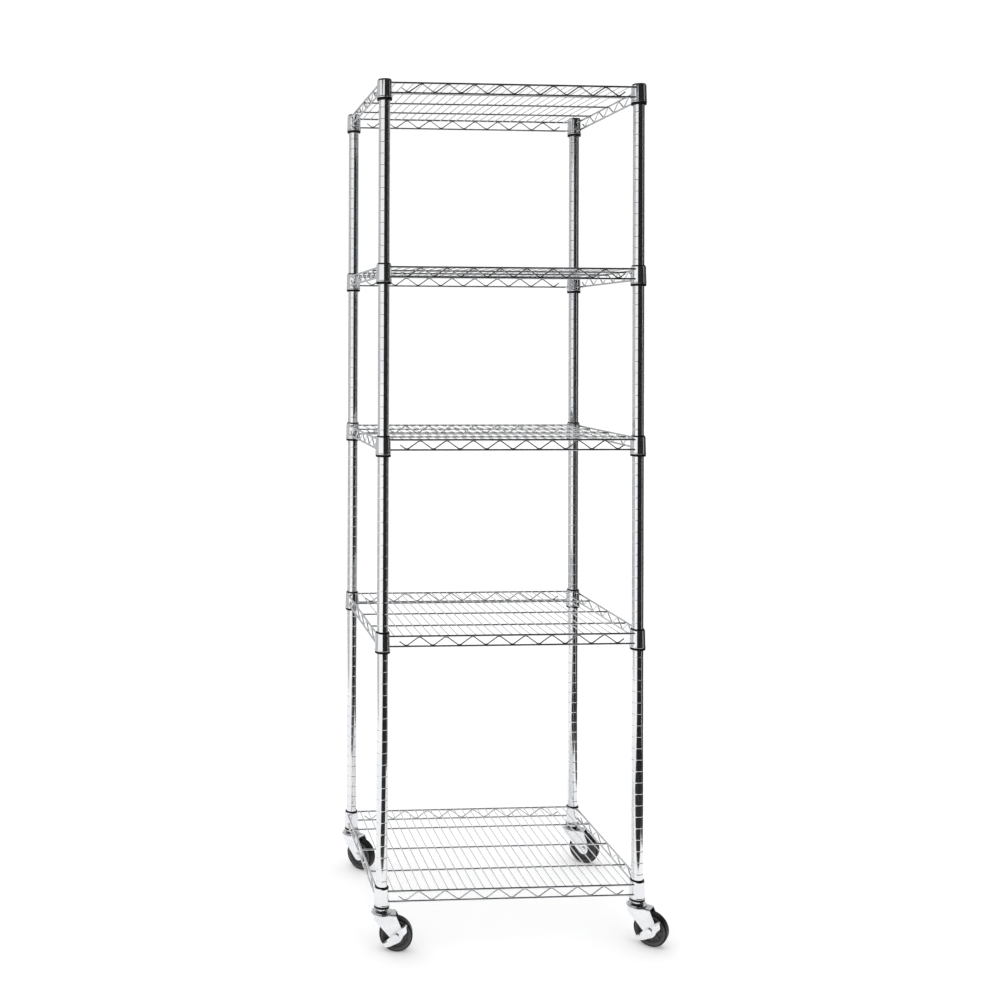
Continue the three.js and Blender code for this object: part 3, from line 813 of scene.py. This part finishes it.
def race_mesh():
    """The round lower race that is pressed into the top of the fork."""
    outline = [
        (KINGPIN_RADIUS + FIT_GAP, crown_bottom - 0.2 * MM),
        (CROWN_RADIUS - 4 * MM, crown_bottom - 0.2 * MM),
        (CROWN_RADIUS - 2.4 * MM, crown_bottom - 0.9 * MM),
        (CROWN_RADIUS - 0.8 * MM, crown_bottom - 0.9 * MM),
        (CROWN_RADIUS, crown_bottom),
        (CROWN_RADIUS, crown_bottom + 1.0 * MM),
        (CROWN_RADIUS - 0.8 * MM, crown_bottom + 1.9 * MM),
        (CROWN_RADIUS - 2.2 * MM, crown_top),
        (KINGPIN_RADIUS + FIT_GAP, crown_top),
    ]
    bm = bmesh.new()
    revolve(bm, outline, RACE_SIDES)
    return mesh_of(bm, "lower_race", ZINC, 50)


def bolt_mesh(braked):
    """Axle bolt: chamfered hexagonal head, plain shank and a threaded end."""
    head_top = -fork_outer_half - FIT_GAP - (LEVER_PLATE + FIT_GAP if braked else 0)
    end = fork_outer_half + FIT_GAP + AXLE_PAST_FORK
    bm = bmesh.new()
    hexagon(bm, HEX_HALF_WIDTH, head_top - HEAD_HEIGHT, head_top, HEX_CHAMFER)
    thread_start = end - THREAD_LENGTH
    shank_start = head_top - 1 * MM
    outline = [(0, shank_start), (AXLE_RADIUS, shank_start), (AXLE_RADIUS, thread_start)]
    turns = int((end - 0.8 * MM - thread_start) / THREAD_PITCH)
    for i in range(turns):
        height = thread_start + i * THREAD_PITCH
        outline.append((AXLE_RADIUS - THREAD_DEPTH, height + THREAD_PITCH / 2))
        outline.append((AXLE_RADIUS, height + THREAD_PITCH))
    outline += [(AXLE_RADIUS - 0.8 * MM, end), (0, end)]
    revolve(bm, outline, 32)
    bm.transform(ON_AXLE)
    return mesh_of(bm, "axle_bolt", ZINC, 25)


def nut_mesh():
    """A hexagonal nut chamfered on both faces."""
    face_at = fork_outer_half + FIT_GAP
    bm = bmesh.new()
    hole = AXLE_RADIUS + FIT_GAP
    hexagon(bm, HEX_HALF_WIDTH, face_at, face_at + NUT_HEIGHT, HEX_CHAMFER, hole)
    bm.transform(ON_AXLE)
    return mesh_of(bm, "axle_nut", ZINC, 25)


def tyre_mesh():
    """A crowned tread with soft shoulders, a fine moulding line and a stepped side wall."""
    half = TYRE_HALF_WIDTH
    seat = wheel_radius - TYRE_DEPTH
    side = [
        (seat, 9.5 * MM),
        (seat + 1.2 * MM, 10.4 * MM),
        (seat + 3.6 * MM, 11.4 * MM),
        (seat + 4.2 * MM, 11.2 * MM),
        (seat + 4.8 * MM, 11.6 * MM),
        (wheel_radius - 3 * MM, half),
        (wheel_radius - 1.2 * MM, half - 0.8 * MM),
        (wheel_radius - 0.35 * MM, half - 2.6 * MM),
        (wheel_radius - 0.12 * MM, 5 * MM),
        (wheel_radius - 0.05 * MM, 0.35 * MM),
        (wheel_radius, 0.12 * MM),
    ]
    upper = [tuple(p) for p in fillet(side, 0.5 * MM, 3, closed=False)]
    lower = [(radius, -height) for radius, height in reversed(upper)]
    bm = bmesh.new()
    revolve(bm, upper + lower, WHEEL_SIDES)
    # Faces past this radius take the black tread. The rest keep the side wall's lighter grey, which is
    # painted light.
    for made in bm.faces:
        if made.calc_center_median().xy.length > wheel_radius - TREAD_DEPTH:
            made.material_index = 1
    bm.transform(ON_AXLE)
    mesh = mesh_of(bm, "tyre", TYRE_SIDE_PAINTED_LIGHT, 40)
    mesh.materials.append(TREAD)
    return mesh


def hub_mesh():
    """A moulded core: a boss, a sunk web with radial ribs, and a raised rim inside the tyre."""
    rim = wheel_radius - TYRE_DEPTH - FIT_GAP
    bore = AXLE_RADIUS + FIT_GAP
    boss = HUB_BOSS_RADIUS
    web, rim_half = 6.2 * MM, 8.9 * MM
    half_outline = [
        (bore, HUB_HALF_WIDTH - 0.4 * MM),
        (bore + 0.4 * MM, HUB_HALF_WIDTH),
        (boss - 0.6 * MM, HUB_HALF_WIDTH),
        (boss, HUB_HALF_WIDTH - 0.8 * MM),
        (boss + 0.8 * MM, web + 0.6 * MM),
        (boss + 1.6 * MM, web),
        (rim - 3.2 * MM, web),
        (rim - 2.2 * MM, web + 0.6 * MM),
        (rim - 1.8 * MM, rim_half - 0.4 * MM),
        (rim - 1.4 * MM, rim_half),
        (rim - 0.4 * MM, rim_half),
        (rim, rim_half - 0.4 * MM),
    ]
    outline = half_outline + [(radius, -height) for radius, height in reversed(half_outline)]
    bm = bmesh.new()
    revolve(bm, outline, WHEEL_SIDES)
    for i in range(HUB_RIBS):
        turn = Matrix.Rotation(2 * math.pi * i / HUB_RIBS, 4, "Z")
        for side in (-1, 1):
            start = len(bm.verts)
            low, high = web - 0.5 * MM, rim_half - 0.6 * MM
            inner, outer = boss - 0.5 * MM, rim - 1.8 * MM
            shape = [(inner, low), (outer, low), (outer, high), (inner, high + 0.8 * MM)]
            plate(bm, [(x, side * z) for x, z in shape], -HUB_RIB_HALF, HUB_RIB_HALF)
            bm.verts.ensure_lookup_table()
            bmesh.ops.transform(bm, matrix=turn, verts=bm.verts[start:])
    bm.transform(ON_AXLE)
    return mesh_of(bm, "wheel_core", WHEEL_CORE_PAINTED_LIGHT, 40)


def lever_mesh():
    """A pressed brake lever: a wavy plate with a toe pad and a heel pad folded outwards."""
    outline = [
        (-31, 6.8), (-35.6, 5), (-33.5, -4), (-25, -8.2), (-13, -11), (-2, -14),
        (6, -12.5), (13, -9.3), (25, -8.1), (35.5, 6.8),
    ]
    outer = -fork_outer_half - FIT_GAP - LEVER_PLATE
    top = 6.8 * MM - LEVER_PLATE / 2
    middle = outer + LEVER_PLATE / 2
    shape = fillet([(u * MM, v * MM) for u, v in outline], 2.4 * MM, 4)
    bm = bmesh.new()
    plate(bm, shape, outer, outer + LEVER_PLATE)
    before, beyond = outer - LEVER_PLATE, outer + 2 * LEVER_PLATE
    bm = bored(bm, AXLE_RADIUS + FIT_GAP, (0, before, 0), (0, beyond, 0))
    bend = 2 * MM
    for start, end in ((17 * MM, 35.0 * MM), (-31 * MM, -22 * MM)):
        rows = []
        foot = top - bend - 1.5 * MM
        rows.append(((start, middle, foot), (end, middle, foot), (0, 1, 0)))
        for i in range(7):
            angle = math.pi / 2 * i / 6
            y = middle - bend + bend * math.cos(angle)
            z = top - bend + bend * math.sin(angle)
            rows.append(((start, y, z), (end, y, z), (0, math.cos(angle), math.sin(angle))))
        rim = outer - LEVER_PAD
        rows.append(((start, rim, top), (end, rim, top), (0, 0, 1)))
        strip(bm, rows, LEVER_PLATE)
    turn = Matrix.Rotation(-LEVER_TURN, 4, "Y")
    bm.transform(Matrix.Translation((trail, 0, wheel_radius)) @ turn)
    return mesh_of(bm, "brake_lever", ZINC, 40)


stem, fork, race = stem_mesh(), fork_mesh(), race_mesh()
nut, tyre, hub, lever = nut_mesh(), tyre_mesh(), hub_mesh(), lever_mesh()
bolts = {braked: bolt_mesh(braked) for braked in (False, True)}
for corner in CORNERS:
    place = caster_place(corner)
    swivelling, rolling = f"fork_{corner}", f"wheel_{corner}"
    piece(f"stem_and_race_{corner}", stem, "rack", f"caster_stem_{corner}", place)
    node = f"caster_fork_{corner}"
    piece(f"pressed_fork_{corner}", fork, swivelling, node, place, FORK_EDGE)
    piece(f"lower_race_{corner}", race, swivelling, node, place)
    bolt = bolts[corner in BRAKED]
    piece(f"hex_bolt_{corner}", bolt, swivelling, f"axle_bolt_{corner}", place)
    piece(f"hex_nut_{corner}", nut, swivelling, f"axle_nut_{corner}", place)
    piece(f"crowned_tyre_{corner}", tyre, rolling, f"wheel_tyre_{corner}", place)
    piece(f"ribbed_core_{corner}", hub, rolling, f"wheel_hub_{corner}", place)
    if corner in BRAKED:
        node = f"brake_lever_{corner}"
        piece(f"pressed_lever_{corner}", lever, f"brake_{corner}", node, place, LEVER_EDGE)

# ---------------------------------------------------------------- stage, lights and camera


def stage_plane(name, size, place, turn, color, roughness=0.9):
    """A flat card for the floor, backdrop or a reflection."""
    material, shader = new_material(name, color, 0, roughness)
    shader.inputs["Specular IOR Level"].default_value = 0.1
    bm = bmesh.new()
    bmesh.ops.create_grid(bm, x_segments=1, y_segments=1, size=0.5)
    mesh = mesh_of(bm, name, material)
    obj = bpy.data.objects.new(name, mesh)
    bpy.context.scene.collection.objects.link(obj)
    obj.scale = (*size, 1)
    obj.location = place
    obj.rotation_euler = turn
    return obj


def reflection_card(name, size, place, turn, shade):
    """A card that only polished surfaces see."""
    card = stage_plane(name, size, place, turn, (shade,) * 3)
    card.visible_camera = False
    card.visible_diffuse = False
    card.visible_shadow = False
    return card


floor = stage_plane("floor", (60, 60), (0, 0, 0), (0, 0, 0), (0.96, 0.96, 0.96))
glow = floor.data.materials[0].node_tree.nodes["Principled BSDF"]
glow.inputs["Emission Color"].default_value = (1, 1, 1, 1)
glow.inputs["Emission Strength"].default_value = 0.12

world = bpy.data.worlds.new("studio")
bpy.context.scene.world = world
world.use_nodes = True
world.node_tree.nodes["Background"].inputs["Color"].default_value = (1, 1, 1, 1)
world.node_tree.nodes["Background"].inputs["Strength"].default_value = 1.05
bpy.context.scene.view_settings.view_transform = "Standard"

# The cards stand from the floor to the ceiling card, or lie just above the floor.
QUARTER = math.pi / 2
CARD_HEIGHT = 2.8
CARD_MIDDLE = CARD_HEIGHT / 2
ABOVE_FLOOR = 0.002
flag_ends = (Vector((-0.56, -1.58, CARD_MIDDLE)), Vector((1.35, -0.82, CARD_MIDDLE)))
flag_run = flag_ends[1] - flag_ends[0]
flag_turn = (QUARTER, 0, math.atan2(flag_run.y, flag_run.x))
flag_middle = (flag_ends[0] + flag_ends[1]) / 2
across, along, flat = (QUARTER, 0, 0), (QUARTER, 0, QUARTER), (0, 0, 0)
reflection_card("dark_flag", (flag_run.length, CARD_HEIGHT), flag_middle, flag_turn, 0.02)
reflection_card("dark_ceiling", (6, 5), (0, -0.6, CARD_HEIGHT), (math.pi, 0, 0), 0.05)
reflection_card("dark_floor", (2.2, 1.2), (0.45, -1.2, ABOVE_FLOOR), flat, 0.03)
reflection_card("dark_floor_right", (1.2, 1.1), (1.4, -0.05, ABOVE_FLOOR), flat, 0.06)
reflection_card("grey_back", (7, CARD_HEIGHT), (0, 2.4, CARD_MIDDLE), across, 0.5)
reflection_card("grey_left", (2.2, CARD_HEIGHT), (-1.9, 0.7, CARD_MIDDLE), along, 0.55)
reflection_card("dark_right", (1.6, CARD_HEIGHT), (1.6, -0.05, CARD_MIDDLE), along, 0.06)

camera_data = bpy.data.cameras.new("camera")
camera_data.sensor_width = 36
camera_data.lens = 43.2
camera_data.shift_x = 0.257
camera_data.shift_y = -0.168
camera = bpy.data.objects.new("camera", camera_data)
bpy.context.scene.collection.objects.link(camera)
bpy.context.scene.camera = camera
camera.location = (-0.7956, -2.8208, 1.3414)
CAMERA_YAW = -0.0673
CAMERA_PITCH = 0.0056
CAMERA_ROLL = 0.0043
camera.rotation_euler = (
    Matrix.Rotation(CAMERA_YAW, 3, "Z")
    @ Matrix.Rotation(QUARTER + CAMERA_PITCH, 3, "X")
    @ Matrix.Rotation(CAMERA_ROLL, 3, "Z")
).to_euler()
